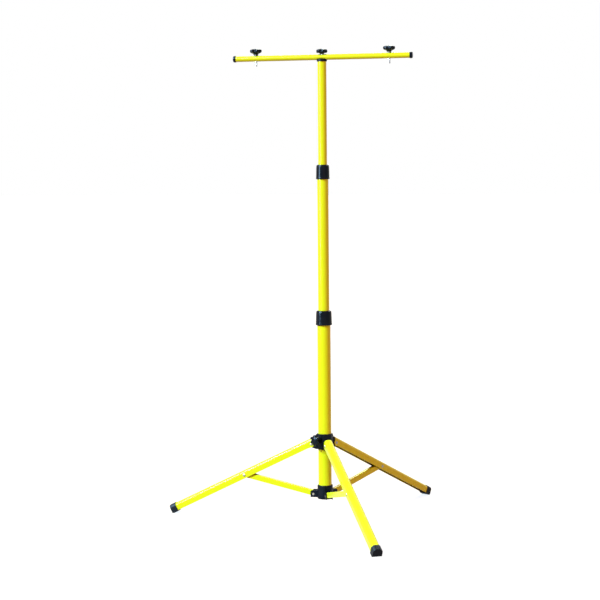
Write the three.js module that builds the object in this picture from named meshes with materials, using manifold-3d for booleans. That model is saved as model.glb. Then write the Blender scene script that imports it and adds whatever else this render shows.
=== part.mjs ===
// A telescopic tripod stand with a T bar for two work lamps, shown with its legs spread.
// Millimetres, +Z up, feet on Z 0. The T bar lies along X, and one leg points to -X.
import * as THREE from "three";
import { mergeVertices } from "three/addons/utils/BufferGeometryUtils.js";
import Module from "manifold-3d";

const wasm = await Module();
wasm.setup();

// Angles and counts
const degree = Math.PI / 180;
const quarterTurn = Math.PI / 2;
const halfTurn = Math.PI;
const legAzimuths = { left: 180 * degree, front: -60 * degree, rear: 60 * degree };
const legSlope = 26.6 * degree;
const clampAzimuth = 240 * degree;
const collarScrewAzimuth = 120 * degree;
const mastSteps = 36;
const hiddenSteps = 20;
const smallSteps = 16;
const rivetSteps = 10;
const cornerSteps = 4;
const hexSides = 6;
const knobLobes = 6;
const lobePoints = 6;
const colletSlits = 4;

// Clearances and cutting
const fit = 0.3;
const slideFit = 0.4;
const overrun = 2;

// Mast tubes
const lowerTubeRadius = 19;
const midTubeRadius = 16;
const topTubeRadius = 12.5;
const tubeWall = 1.2;
const lowerTubeLength = 526;
const midTubeShown = 373.2;
const topTubeShown = 289.2;
const midTubeInside = 114.4;
const topTubeInside = 184;

// Brace collar at the foot of the lower tube
const braceCollarRadius = 22.2;
const braceCollarBelowPivot = 12.9;
const braceCollarAbovePivot = 26.8;
const braceCollarLip = 3;
const braceCollarLipRadius = 14;
const braceCollarChamfer = 1;
const bracePivotRadius = 33;
const bracePivotHeight = 74;
const lugHalfWidth = 10.2;
const lugCheek = 2.5;
const lugReach = 8;
const lugAbovePivot = 11;
const lugBelowPivot = 9.2;
const lugCorner = 6;
const lugSlotFloorRadius = 20.6;
const collarScrewRadius = 1.5;
const collarScrewHeadRadius = 3.4;
const collarScrewHead = 1.8;
const collarScrewRise = 9;
const bumperHeight = 12;
const bumperHoleRadius = 5;

// Leg hub, which slides on the lower tube
const hubRadius = 22.2;
const hubBelowPivot = 13.5;
const hubAbovePivot = 31.2;
const hubChamfer = 1;
const hubPivotRadius = 37;
const tongueHalfWidth = 9.6;
const tongueNose = 9.1;
const tongueTopRadius = 24;
const tongueDrop = 2.5;
const clampRise = 15.6;
const clampBossRadius = 9;
const clampBossEnd = 34;
const padRadius = 4.4;
const padThickness = 2;

// Legs: channels with the crown up, measured from the hub pivot line
const legReach = 475;
const legWidth = 24;
const legBelowPivot = 6.5;
const legAbovePivot = 15.5;
const legCorner = 9;
const legWall = 1.5;
const legHeel = 9;
const legEarRadius = 8.5;
const legEarLength = 14;
const legRivetAt = 224;
const legRivetRise = 2.5;

// Foot caps
const capLength = 19;
const capWall = 1.3;
const capEnd = 4;
const capBelowLeg = 2.5;
const capAboveLeg = 1.7;
const capRounding = 3;
const footCut = 1;

// Braces: smaller channels between the collar and the legs
const braceWidth = 14.8;
const braceAbovePivot = 10.2;
const braceBelowPivot = 5.8;
const braceCorner = 4;
const braceWall = 1.2;
const braceCrownStop = 8;

// Rivets and pins
const rivetRadius = 3;
const rivetHeadRadius = 4.4;
const rivetHead = 1.6;
const rivetShoulderRadius = 4.6;
const pinRadius = 2.9;
const lugHeadRadius = 3.4;
const lugHead = 1.2;
const lugShankRadius = 2.2;

// Twist collars and collets
const lowerCollarBottomRadius = 23.4;
const lowerCollarTopRadius = 21.3;
const lowerCollarHeight = 41.4;
const lowerCollarGrip = 28;
const upperCollarBottomRadius = 19.5;
const upperCollarTopRadius = 18.4;
const upperCollarHeight = 40.8;
const upperCollarGrip = 27.5;
const collarShoulder = 4;
const collarFootRounding = 2;
const collarFlare = 0.4;
const collarFlareHeight = 4;
const collarLip = 3;
const colletStem = 39;
const colletFlange = 3;
const colletTaper = 1;
const colletSlit = 2;
const bushGrip = 16;
const bushLip = 4;

// T bar and its saddle
const barRadius = 8;
const barWall = 1.5;
const barReach = 258.5;
const barCapRadius = 9.2;
const barCapGrip = 5;
const barCapDome = 3;
const barCapEnd = 2;
const lampOffset = 192;
const saddleRadius = 14.5;
const saddleBelowBar = 3.6;
const saddleWrap = 1.8;
const saddlePlug = 26;

// Screws, nuts, inserts, washers and knobs
const screwRadius = 3.9;
const screwTipChamfer = 1;
const lampScrewBelowBar = 14;
const centreScrewBelowPlug = 2;
const nutFlats = 13;
const nutHeight = 6.5;
const insertFlangeRadius = 6.3;
const insertFlange = 1;
const insertStemRadius = 5.2;
const insertLength = 9;
const washerRadius = 6.3;
const washerThickness = 1;
const lampKnobRadius = 17;
const lampKnobHeight = 16.9;
const centreKnobRadius = 15.8;
const centreKnobHeight = 14;
const hubKnobRadius = 16;
const hubKnobHeight = 14.4;
const knobBossRadius = 6.8;
const knobRounding = 1.8;
const screwCoverInKnob = 4.5;

// Shares of a knob's radius or height
const knobBossTopShare = 0.2;
const knobRimStartShare = 0.3;
const knobRimEndShare = 0.84;
const knobValleyShare = 0.27;
const knobConeTopShare = 0.72;
const knobDomeShare = 0.56;
const knobCrownShare = 0.3;

// Finishes
const yellowPaint = { color: 0xe9e41c, roughness: 0.32, metalness: 0.1 };
const blackPlastic = { color: 0x14161c, roughness: 0.42, metalness: 0 };
const blackRubber = { color: 0x0c0c0e, roughness: 0.7, metalness: 0 };
const zincSteel = { color: 0xc4c8cf, roughness: 0.35, metalness: 0.9 };

// Heights and lengths worked out from the sizes above
const legEndDrop = (legReach - capRounding) * Math.sin(legSlope);
const capBottom = legBelowPivot + capBelowLeg;
const capCornerDrop = (capBottom - capRounding) * Math.cos(legSlope);
const hubPivotHeight = legEndDrop + capCornerDrop + capRounding - footCut;
const braceCollarBottom = bracePivotHeight - braceCollarBelowPivot;
const braceCollarHeight = braceCollarBelowPivot + braceCollarAbovePivot;
const lowerTubeFoot = braceCollarBottom + braceCollarLip + fit;
const lowerTubeTop = lowerTubeFoot + lowerTubeLength;
const lowerCollarBottom = lowerTubeTop - lowerCollarGrip;
const midTubeTop = lowerCollarBottom + lowerCollarHeight + midTubeShown + upperCollarGrip;
const upperCollarBottom = midTubeTop - upperCollarGrip;
const topTubeTop = upperCollarBottom + upperCollarHeight + topTubeShown;
const midTubeBottom = lowerTubeTop - midTubeInside;
const topTubeBottom = midTubeTop - topTubeInside;
const barHeight = topTubeTop + fit + saddleBelowBar + barRadius;
const legRivetRadius = hubPivotRadius + legRivetAt * Math.cos(legSlope) + legRivetRise * Math.sin(legSlope);
const legRivetHeight = hubPivotHeight - legRivetAt * Math.sin(legSlope) + legRivetRise * Math.cos(legSlope);
const braceRun = legRivetRadius - bracePivotRadius;
const braceRise = legRivetHeight - bracePivotHeight;
const braceLength = Math.hypot(braceRun, braceRise);
const braceSlope = Math.atan2(braceRise, braceRun);
const footReach = hubPivotRadius + legReach * Math.cos(legSlope) + legAbovePivot * Math.sin(legSlope);
const stanceCentre = (barReach - footReach) / 2;

// A closed geometry's triangles as a solid that can be cut and joined.
function solidOf(geometry) {
  const bare = geometry.index ? geometry.toNonIndexed() : geometry.clone();
  bare.deleteAttribute("normal");
  bare.deleteAttribute("uv");
  const merged = mergeVertices(bare);
  const corners = merged.index.array;
  const triangles = [];
  for (let i = 0; i < corners.length; i += 3) {
    const [a, b, c] = [corners[i], corners[i + 1], corners[i + 2]];
    if (a !== b && b !== c && c !== a) triangles.push(a, b, c);
  }
  return new wasm.Manifold(
    new wasm.Mesh({
      numProp: 3,
      vertProperties: merged.attributes.position.array,
      triVerts: new Uint32Array(triangles),
    }),
  );
}

// A solid's surface as a geometry with flat faces.
function geometryOf(solid) {
  const { numProp, vertProperties, triVerts } = solid.getMesh();
  const places = [];
  for (let i = 0; i < vertProperties.length; i += numProp) {
    places.push(vertProperties[i], vertProperties[i + 1], vertProperties[i + 2]);
  }
  const geometry = new THREE.BufferGeometry();
  geometry.setAttribute("position", new THREE.Float32BufferAttribute(places, 3));
  geometry.setIndex(Array.from(triVerts));
  const faceted = geometry.toNonIndexed();
  faceted.computeVertexNormals();
  return faceted;
}

function piece(name, solid, finish) {
  const mesh = new THREE.Mesh(geometryOf(solid), new THREE.MeshStandardMaterial(finish));
  mesh.name = name;
  return mesh;
}

// A round geometry about Z from [radius, height] points. Off the axis, the outline closes on itself.
function turned(outline, steps) {
  const points = outline.map(([radius, height]) => new THREE.Vector2(radius, height));
  if (THREE.ShapeUtils.area(points) < 0) points.reverse();
  if (points[0].x > 0) points.push(points[0].clone());
  return new THREE.LatheGeometry(points, steps).rotateX(quarterTurn);
}

// A ring about Z between two radii and two heights.
function ring(innerRadius, outerRadius, bottom, top, steps) {
  const outline = [
    [innerRadius, bottom],
    [outerRadius, bottom],
    [outerRadius, top],
    [innerRadius, top],
  ];
  return turned(outline, steps);
}

// A round bar along Z between two heights.
function rod(radius, bottom, top, steps) {
  return turned([[0, bottom], [radius, bottom], [radius, top], [0, top]], steps);
}

// A hexagonal bar along Z between two heights, by its width across flats.
function hexBar(flats, bottom, top) {
  return rod(flats / 2 / Math.cos(halfTurn / hexSides), bottom, top, hexSides);
}

// A round bar along Y, centred, for pivots and their holes.
function crossRod(radius, length, steps) {
  return rod(radius, -length / 2, length / 2, steps).rotateX(quarterTurn);
}

// A side outline in X and Z, given as a flat shape, made a plate centred on Y 0.
function sidePlate(shape, width) {
  const plate = new THREE.ExtrudeGeometry(shape, {
    depth: width,
    bevelEnabled: false,
    curveSegments: cornerSteps,
  });
  return plate.rotateX(quarterTurn).translate(0, width / 2, 0);
}

// A cross-section in Y and Z, given as a flat shape, run along X from one place to another.
function runAlongX(shape, start, end) {
  const run = new THREE.ExtrudeGeometry(shape, {
    depth: end - start,
    bevelEnabled: false,
    curveSegments: cornerSteps,
  });
  const axes = new THREE.Matrix4().makeBasis(
    new THREE.Vector3(0, 1, 0),
    new THREE.Vector3(0, 0, 1),
    new THREE.Vector3(1, 0, 0),
  );
  return run.applyMatrix4(axes).translate(start, 0, 0);
}

// A channel's section: two side walls under a crown with round corners, open below.
function channelSection(width, below, above, corner, wall) {
  const half = width / 2;
  const arcCentre = half - corner;
  const arcHeight = above - corner;
  const section = new THREE.Shape();
  section.moveTo(-half, -below);
  section.lineTo(wall - half, -below);
  section.lineTo(wall - half, arcHeight);
  section.absarc(-arcCentre, arcHeight, corner - wall, halfTurn, quarterTurn, true);
  section.absarc(arcCentre, arcHeight, corner - wall, quarterTurn, 0, true);
  section.lineTo(half - wall, -below);
  section.lineTo(half, -below);
  section.absarc(arcCentre, arcHeight, corner, 0, quarterTurn, false);
  section.absarc(-arcCentre, arcHeight, corner, quarterTurn, halfTurn, false);
  return section;
}

// A D-shaped section: flat below, with a crown of round corners.
function domedSection(width, below, above, corner) {
  const half = width / 2;
  const section = new THREE.Shape();
  section.moveTo(-half, -below);
  section.lineTo(half, -below);
  section.absarc(half - corner, above - corner, corner, 0, quarterTurn, false);
  section.absarc(corner - half, above - corner, corner, quarterTurn, halfTurn, false);
  return section;
}

// The lower tube, drilled for the collar's fixing screw.
function lowerTube() {
  const screwHole = rod(collarScrewRadius + fit, 0, lowerTubeRadius + overrun, rivetSteps);
  screwHole.rotateY(quarterTurn).rotateZ(collarScrewAzimuth);
  screwHole.translate(0, 0, bracePivotHeight + collarScrewRise);
  const bore = lowerTubeRadius - tubeWall;
  const wallRing = ring(bore, lowerTubeRadius, lowerTubeFoot, lowerTubeTop, mastSteps);
  return solidOf(wallRing).subtract(solidOf(screwHole));
}

function plainTube(radius, bottom, top) {
  return solidOf(ring(radius - tubeWall, radius, bottom, top, mastSteps));
}

// A rubber stop that closes the foot of the lower tube.
function tubeBumper() {
  const radius = lowerTubeRadius - tubeWall - fit;
  return solidOf(ring(bumperHoleRadius, radius, lowerTubeFoot, lowerTubeFoot + bumperHeight, hiddenSteps));
}

// One lug's side outline, in radius and height.
function lugOutline() {
  const reach = bracePivotRadius + lugReach;
  const top = bracePivotHeight + lugAbovePivot;
  const bottom = bracePivotHeight - lugBelowPivot;
  const inside = lowerTubeRadius;
  const outline = new THREE.Shape();
  outline.moveTo(inside, bottom);
  outline.lineTo(reach, bottom);
  outline.lineTo(reach, top - lugCorner);
  outline.absarc(reach - lugCorner, top - lugCorner, lugCorner, 0, quarterTurn, false);
  outline.lineTo(inside, top);
  return outline;
}

// The collar that carries the braces: a cup for the tube's foot with three forked lugs.
function braceCollar() {
  const bottom = braceCollarBottom;
  const top = bottom + braceCollarHeight;
  const bore = lowerTubeRadius + fit;
  const cup = turned(
    [
      [braceCollarLipRadius, bottom],
      [braceCollarRadius - braceCollarChamfer, bottom],
      [braceCollarRadius, bottom + braceCollarChamfer],
      [braceCollarRadius, top - braceCollarChamfer],
      [braceCollarRadius - braceCollarChamfer, top],
      [braceCollarLipRadius, top],
    ],
    mastSteps,
  );
  let collar = solidOf(cup);
  for (const azimuth of Object.values(legAzimuths)) {
    collar = collar.add(solidOf(sidePlate(lugOutline(), 2 * lugHalfWidth).rotateZ(azimuth)));
  }
  const slotReach = bracePivotRadius + lugReach + overrun;
  const slotDepth = slotReach - lugSlotFloorRadius;
  const slotWidth = 2 * (lugHalfWidth - lugCheek);
  for (const azimuth of Object.values(legAzimuths)) {
    const slot = new THREE.BoxGeometry(slotDepth, slotWidth, braceCollarHeight + overrun);
    slot.translate(slotReach - slotDepth / 2, 0, bottom + braceCollarHeight / 2);
    const eye = crossRod(lugShankRadius + fit, 2 * lugHalfWidth + overrun, rivetSteps);
    eye.translate(bracePivotRadius, 0, bracePivotHeight);
    collar = collar.subtract(solidOf(slot.rotateZ(azimuth)));
    collar = collar.subtract(solidOf(eye.rotateZ(azimuth)));
    for (const side of [-1, 1]) {
      const seat = crossRod(lugHeadRadius + fit, 2 * lugHead, rivetSteps);
      seat.translate(bracePivotRadius, side * lugHalfWidth, bracePivotHeight);
      collar = collar.subtract(solidOf(seat.rotateZ(azimuth)));
    }
  }
  const screwHole = rod(collarScrewRadius + fit, 0, braceCollarRadius + overrun, rivetSteps);
  screwHole.rotateY(quarterTurn).rotateZ(collarScrewAzimuth);
  screwHole.translate(0, 0, bracePivotHeight + collarScrewRise);
  const cavity = rod(bore, bottom + braceCollarLip, top + overrun, mastSteps);
  const mouth = rod(braceCollarLipRadius, bottom - overrun, top, mastSteps);
  return collar.subtract(solidOf(cavity)).subtract(solidOf(mouth)).subtract(solidOf(screwHole));
}

// The small pan-head screw that holds the collar to the tube, along Z from the tube's inside.
function collarScrew() {
  const tip = lowerTubeRadius - tubeWall;
  const seat = braceCollarRadius + fit;
  const outline = [
    [0, tip],
    [collarScrewRadius, tip],
    [collarScrewRadius, seat],
    [collarScrewHeadRadius, seat],
    [collarScrewHeadRadius, seat + collarScrewHead / 2],
    [collarScrewHeadRadius / 2, seat + collarScrewHead],
    [0, seat + collarScrewHead],
  ];
  return solidOf(turned(outline, rivetSteps));
}

// One flush rivet head with a short shank, along Y from the slot outwards.
function lugRivet() {
  const inner = lugHalfWidth - lugCheek + fit;
  const seat = lugHalfWidth - lugHead + fit;
  const outline = [
    [0, inner],
    [lugShankRadius, inner],
    [lugShankRadius, seat],
    [lugHeadRadius, seat],
    [lugHeadRadius, lugHalfWidth],
    [0, lugHalfWidth],
  ];
  return solidOf(turned(outline, rivetSteps).rotateX(-quarterTurn));
}

// One tongue's side outline, in radius and height.
function tongueOutline() {
  const top = hubPivotHeight + hubAbovePivot - tongueDrop;
  const bottom = hubPivotHeight - hubBelowPivot;
  const noseEnd = quarterTurn + quarterTurn / 2;
  const outline = new THREE.Shape();
  outline.moveTo(lowerTubeRadius, bottom);
  outline.lineTo(tongueTopRadius, bottom);
  outline.absarc(hubPivotRadius, hubPivotHeight, tongueNose, -quarterTurn, noseEnd, false);
  outline.lineTo(tongueTopRadius, top);
  outline.lineTo(lowerTubeRadius, top);
  return outline;
}

// A geometry along Z from the mast axis, laid along the hub's clamp axis.
function alongClamp(geometry) {
  return geometry.rotateY(quarterTurn).rotateZ(clampAzimuth).translate(0, 0, hubPivotHeight + clampRise);
}

// The hub: a sleeve on the lower tube with three tongues for the legs and a clamp boss.
function legHub() {
  const bottom = hubPivotHeight - hubBelowPivot;
  const top = hubPivotHeight + hubAbovePivot;
  const bore = lowerTubeRadius + slideFit;
  const inside = lowerTubeRadius - overrun;
  const sleeve = turned(
    [
      [inside, bottom],
      [hubRadius - hubChamfer, bottom],
      [hubRadius, bottom + hubChamfer],
      [hubRadius, top - hubChamfer],
      [hubRadius - hubChamfer, top],
      [inside, top],
    ],
    mastSteps,
  );
  let hub = solidOf(sleeve);
  for (const azimuth of Object.values(legAzimuths)) {
    hub = hub.add(solidOf(sidePlate(tongueOutline(), 2 * tongueHalfWidth).rotateZ(azimuth)));
  }
  hub = hub.add(solidOf(alongClamp(rod(clampBossRadius, lowerTubeRadius, clampBossEnd, smallSteps))));
  hub = hub.subtract(solidOf(rod(bore, bottom - overrun, top + overrun, mastSteps)));
  for (const azimuth of Object.values(legAzimuths)) {
    const eye = crossRod(rivetRadius + fit, 2 * tongueHalfWidth + overrun, rivetSteps);
    eye.translate(hubPivotRadius, 0, hubPivotHeight);
    hub = hub.subtract(solidOf(eye.rotateZ(azimuth)));
  }
  const padHole = rod(padRadius + fit, lowerTubeRadius - overrun, clampBossEnd + overrun, smallSteps);
  const nutPocket = hexBar(nutFlats + 2 * fit, clampBossEnd - nutHeight - fit, clampBossEnd + overrun);
  return hub.subtract(solidOf(alongClamp(padHole))).subtract(solidOf(alongClamp(nutPocket)));
}

// A hexagonal nut with a clear bore for the screw.
function hexNut(bottom, top) {
  const bore = rod(screwRadius + fit, bottom - overrun, top + overrun, smallSteps);
  return solidOf(hexBar(nutFlats, bottom, top)).subtract(solidOf(bore));
}

// A leg's side outline along its length, with a round ear at the hub end.
function legSideOutline() {
  const end = legReach - capEnd;
  const outline = new THREE.Shape();
  outline.moveTo(end, -legBelowPivot);
  outline.lineTo(end, legAbovePivot + overrun);
  outline.lineTo(-legHeel, legAbovePivot + overrun);
  outline.lineTo(-legEarRadius, 0);
  outline.absarc(0, 0, legEarRadius, halfTurn, 3 * quarterTurn, false);
  outline.lineTo(legEarLength, -legBelowPivot);
  return outline;
}

// A leg: a channel that straddles the hub's tongue, drilled for its two rivets.
function leg() {
  const end = legReach - capEnd;
  const section = channelSection(legWidth, legEarRadius, legAbovePivot, legCorner, legWall);
  const channel = runAlongX(section, -legHeel - overrun, end + overrun);
  const outline = sidePlate(legSideOutline(), legWidth + overrun);
  const hubEye = crossRod(rivetRadius + fit, legWidth + overrun, rivetSteps);
  const braceEye = crossRod(rivetRadius + fit, legWidth + overrun, rivetSteps);
  braceEye.translate(legRivetAt, 0, legRivetRise);
  return solidOf(channel)
    .intersect(solidOf(outline))
    .subtract(solidOf(hubEye))
    .subtract(solidOf(braceEye));
}

// A foot cap's side outline, rounded where it meets the ground.
function capSideOutline() {
  const start = legReach - capLength;
  const below = -capBottom;
  const above = legAbovePivot + capAboveLeg;
  const outline = new THREE.Shape();
  outline.moveTo(start, below);
  outline.lineTo(legReach - capRounding, below);
  outline.absarc(legReach - capRounding, below + capRounding, capRounding, -quarterTurn, 0, false);
  outline.absarc(legReach - capRounding, above - capRounding, capRounding, 0, quarterTurn, false);
  outline.lineTo(start, above);
  return outline;
}

// A foot cap: a boot over the leg's end, cut flat where it stands on the floor.
function footCap(legPlace) {
  const start = legReach - capLength;
  const above = legAbovePivot + capAboveLeg;
  const outerWidth = legWidth + 2 * (capWall + fit);
  const outerSection = domedSection(outerWidth, capBottom, above, legCorner + capWall + fit);
  const boot = runAlongX(outerSection, start, legReach + overrun);
  const outline = sidePlate(capSideOutline(), outerWidth + overrun);
  const pocketSection = domedSection(
    legWidth + 2 * fit,
    legBelowPivot + fit,
    legAbovePivot + fit,
    legCorner + fit,
  );
  const pocket = runAlongX(pocketSection, start - overrun, legReach - capEnd + fit);
  const floor = new THREE.BoxGeometry(legReach, legReach, legReach);
  floor.translate(legReach, 0, -legReach / 2).applyMatrix4(legPlace.clone().invert());
  return solidOf(boot)
    .intersect(solidOf(outline))
    .subtract(solidOf(pocket))
    .subtract(solidOf(floor));
}

// A brace's side outline from the leg rivet to the collar pin, with the crown stopped short of the lug.
function braceSideOutline() {
  const endRadius = (braceAbovePivot + braceBelowPivot) / 2;
  const endRise = braceAbovePivot - endRadius;
  const crownStop = braceLength - braceCrownStop;
  const outline = new THREE.Shape();
  outline.moveTo(braceLength, -braceBelowPivot);
  outline.absarc(braceLength, 0, braceBelowPivot, -quarterTurn, quarterTurn, false);
  outline.lineTo(crownStop, braceAbovePivot + overrun);
  outline.lineTo(0, braceAbovePivot + overrun);
  outline.lineTo(0, endRise + endRadius);
  outline.absarc(0, endRise, endRadius, quarterTurn, 3 * quarterTurn, false);
  return outline;
}

// A brace: a small channel drilled for the leg rivet and the collar pin.
function brace() {
  const endRadius = (braceAbovePivot + braceBelowPivot) / 2;
  const section = channelSection(braceWidth, braceBelowPivot, braceAbovePivot, braceCorner, braceWall);
  const channel = runAlongX(section, -endRadius - overrun, braceLength + braceBelowPivot + overrun);
  const outline = sidePlate(braceSideOutline(), braceWidth + overrun);
  const legEye = crossRod(rivetRadius + fit, braceWidth + overrun, rivetSteps);
  const pinEye = crossRod(pinRadius + fit, braceWidth + overrun, rivetSteps);
  pinEye.translate(braceLength, 0, 0);
  return solidOf(channel)
    .intersect(solidOf(outline))
    .subtract(solidOf(legEye))
    .subtract(solidOf(pinEye));
}

// A leg rivet along Y, with a head on each side wall.
function legRivet(shoulderStart) {
  const face = legWidth / 2 + fit / 2;
  const tip = face + rivetHead;
  const wallInside = legWidth / 2 - legWall - fit;
  const half = [];
  if (shoulderStart > 0) {
    half.push([rivetRadius, shoulderStart]);
    half.push([rivetShoulderRadius, shoulderStart]);
    half.push([rivetShoulderRadius, wallInside]);
    half.push([rivetRadius, wallInside]);
  }
  half.push([rivetRadius, face]);
  half.push([rivetHeadRadius, face]);
  half.push([rivetHeadRadius, face + rivetHead / 2]);
  half.push([rivetHeadRadius / 2, tip]);
  half.push([0, tip]);
  const mirrored = half.map(([radius, place]) => [radius, -place]).reverse();
  return solidOf(turned([...mirrored, ...half], rivetSteps).rotateX(quarterTurn));
}

// The pin through a brace's collar end, flush with the brace's side walls.
function bracePin() {
  return solidOf(crossRod(pinRadius, braceWidth, rivetSteps));
}

// A twist collar: a tapered grip with a flared, rounded foot and a lip that closes over the collet.
function twistCollar(tubeRadius, innerTubeRadius, bottomRadius, topRadius, bottom, height) {
  const bore = tubeRadius + slideFit;
  const lipBore = innerTubeRadius + slideFit;
  const top = bottom + height;
  const shoulderHalf = collarShoulder * (1 - Math.SQRT1_2);
  const footHalf = collarFootRounding * (1 - Math.SQRT1_2);
  const outline = [
    [bore, bottom],
    [bottomRadius - collarFootRounding, bottom],
    [bottomRadius - footHalf, bottom + footHalf],
    [bottomRadius, bottom + collarFootRounding],
    [bottomRadius, bottom + collarFlareHeight],
    [bottomRadius - collarFlare, bottom + collarFlareHeight + collarFlare],
    [topRadius, top - collarShoulder],
    [topRadius - shoulderHalf, top - shoulderHalf],
    [topRadius - collarShoulder, top],
    [lipBore, top],
    [lipBore, top - collarLip],
    [bore, top - collarLip],
  ];
  return solidOf(turned(outline, mastSteps));
}

// A collet: a sleeve inside the outer tube, with a flange on its rim and slit fingers above.
function collet(tubeRadius, innerTubeRadius, tubeTop, fingers) {
  const bore = innerTubeRadius + fit;
  const stem = tubeRadius - tubeWall - fit;
  const outline = [
    [bore, tubeTop - colletStem],
    [stem, tubeTop - colletStem],
    [stem, tubeTop + fit],
    [tubeRadius, tubeTop + fit],
    [tubeRadius, tubeTop + colletFlange],
    [stem, tubeTop + colletFlange],
    [stem - colletTaper / 2, tubeTop + fingers],
    [bore, tubeTop + fingers],
  ];
  let sleeve = solidOf(turned(outline, hiddenSteps));
  const slitDepth = fingers + colletStem / 2;
  for (let i = 0; i < colletSlits; i += 1) {
    const slit = new THREE.BoxGeometry(tubeRadius + overrun, colletSlit, slitDepth);
    slit.translate((tubeRadius + overrun) / 2, 0, tubeTop + fingers + overrun - slitDepth / 2);
    sleeve = sleeve.subtract(solidOf(slit.rotateZ((2 * halfTurn * (i + 1 / 2)) / colletSlits)));
  }
  return sleeve;
}

// A guide bush on a sliding tube's lower end: a sleeve with a lip under the tube.
function guideBush(tubeRadius, outerTubeRadius, tubeBottom) {
  const bore = tubeRadius + fit;
  const outside = outerTubeRadius - tubeWall - fit;
  const outline = [
    [tubeRadius - tubeWall, tubeBottom - bushLip],
    [outside, tubeBottom - bushLip],
    [outside, tubeBottom + bushGrip],
    [bore, tubeBottom + bushGrip],
    [bore, tubeBottom - fit],
    [tubeRadius - tubeWall, tubeBottom - fit],
  ];
  return solidOf(turned(outline, hiddenSteps));
}

// The saddle: a plug in the top tube with a flange grooved for the bar and a pocket for its nut.
function barSaddle() {
  const flangeBottom = topTubeTop + fit;
  const flangeTop = barHeight - barRadius + saddleWrap;
  const plugRadius = topTubeRadius - tubeWall - fit;
  const plugBottom = flangeBottom - saddlePlug;
  const outline = [
    [0, plugBottom],
    [plugRadius, plugBottom],
    [plugRadius, flangeBottom],
    [saddleRadius, flangeBottom],
    [saddleRadius, flangeTop],
    [0, flangeTop],
  ];
  const groove = rod(barRadius + fit, -saddleRadius - overrun, saddleRadius + overrun, mastSteps);
  groove.rotateY(quarterTurn).translate(0, 0, barHeight);
  const screwHole = rod(screwRadius + slideFit, plugBottom - overrun, flangeTop + overrun, smallSteps);
  const pocket = hexBar(nutFlats + 2 * fit, plugBottom - overrun, plugBottom + nutHeight + fit);
  return solidOf(turned(outline, mastSteps))
    .subtract(solidOf(groove))
    .subtract(solidOf(screwHole))
    .subtract(solidOf(pocket));
}

// The T bar: a tube along X, drilled for the centre screw and the two lamp screws.
function crossBar() {
  const end = barReach - barCapEnd - fit;
  const tube = ring(barRadius - barWall, barRadius, -end, end, smallSteps + smallSteps / 2);
  let bar = solidOf(tube.rotateY(quarterTurn).translate(0, 0, barHeight));
  const below = barHeight - barRadius - overrun;
  const above = barHeight + barRadius + overrun;
  for (const place of [-lampOffset, 0, lampOffset]) {
    const drill = rod(screwRadius + slideFit, below, above, smallSteps).translate(place, 0, 0);
    bar = bar.subtract(solidOf(drill));
  }
  for (const place of [-lampOffset, lampOffset]) {
    const drill = rod(insertStemRadius + fit, barHeight, above, smallSteps).translate(place, 0, 0);
    bar = bar.subtract(solidOf(drill));
  }
  return bar;
}

// A domed cap for the bar's end, along Z with its closed end up.
function barCap() {
  const pocket = barRadius + fit;
  const start = barReach - barCapGrip - barCapDome;
  const shoulder = barReach - barCapDome;
  const roundShare = Math.SQRT1_2;
  const outline = [
    [0, barReach - barCapEnd],
    [pocket, barReach - barCapEnd],
    [pocket, start],
    [barCapRadius, start],
    [barCapRadius, shoulder],
    [barCapRadius - barCapDome * (1 - roundShare), shoulder + barCapDome * roundShare],
    [barCapRadius - barCapDome, barReach],
    [0, barReach],
  ];
  return solidOf(turned(outline, smallSteps + smallSteps / 2));
}

// A threaded insert in the bar's top wall, with a flat flange for a lamp bracket.
function threadInsert() {
  const seat = barRadius + fit;
  const outline = [
    [screwRadius + fit, seat - insertLength],
    [insertStemRadius, seat - insertLength],
    [insertStemRadius, seat],
    [insertFlangeRadius, seat],
    [insertFlangeRadius, seat + insertFlange],
    [screwRadius + fit, seat + insertFlange],
  ];
  return solidOf(turned(outline, smallSteps));
}

function washer() {
  return solidOf(ring(screwRadius + fit, washerRadius, 0, washerThickness, smallSteps));
}

// A screw along Z with a chamfered tip below.
function screw(tip, top) {
  const outline = [
    [0, tip],
    [screwRadius - screwTipChamfer, tip],
    [screwRadius, tip + screwTipChamfer],
    [screwRadius, top],
    [0, top],
  ];
  return solidOf(turned(outline, smallSteps));
}

// A knob's lobed outline.
function lobedOutline(radius) {
  const count = knobLobes * lobePoints;
  const points = [];
  for (let i = 0; i < count; i += 1) {
    const angle = (2 * halfTurn * i) / count;
    const valley = (1 - Math.cos(knobLobes * angle)) / 2;
    const reach = radius * (1 - knobValleyShare * valley);
    points.push(new THREE.Vector2(reach * Math.cos(angle), reach * Math.sin(angle)));
  }
  return new THREE.Shape(points);
}

// A lobed clamping knob on Z, its boss at Z 0, with a blind hole for its screw.
function clampKnob(radius, height) {
  const rimStart = height * knobRimStartShare;
  const rimEnd = height * knobRimEndShare;
  const lobes = new THREE.ExtrudeGeometry(lobedOutline(radius), {
    depth: rimEnd - rimStart - 2 * knobRounding,
    bevelThickness: knobRounding,
    bevelSize: knobRounding,
    bevelOffset: -knobRounding,
    bevelSegments: 2,
  });
  lobes.translate(0, 0, rimStart + knobRounding);
  const core = turned(
    [
      [0, 0],
      [knobBossRadius, 0],
      [knobBossRadius, height * knobBossTopShare],
      [radius * knobConeTopShare, rimStart + knobRounding / 2],
      [radius * knobDomeShare, rimEnd + knobRounding / 2],
      [radius * knobCrownShare, height],
      [0, height],
    ],
    smallSteps,
  );
  const hole = rod(screwRadius + fit, -overrun, height - screwCoverInKnob, smallSteps);
  return solidOf(lobes).add(solidOf(core)).subtract(solidOf(hole));
}

// Adds a mesh to a group, turned so that its own Z lies along X where asked.
function addAlongX(group, mesh, flip) {
  mesh.rotation.y = flip ? -quarterTurn : quarterTurn;
  group.add(mesh);
}

// A group turned about Z.
function turnedGroup(azimuth) {
  const group = new THREE.Group();
  group.rotation.z = azimuth;
  return group;
}

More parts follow.
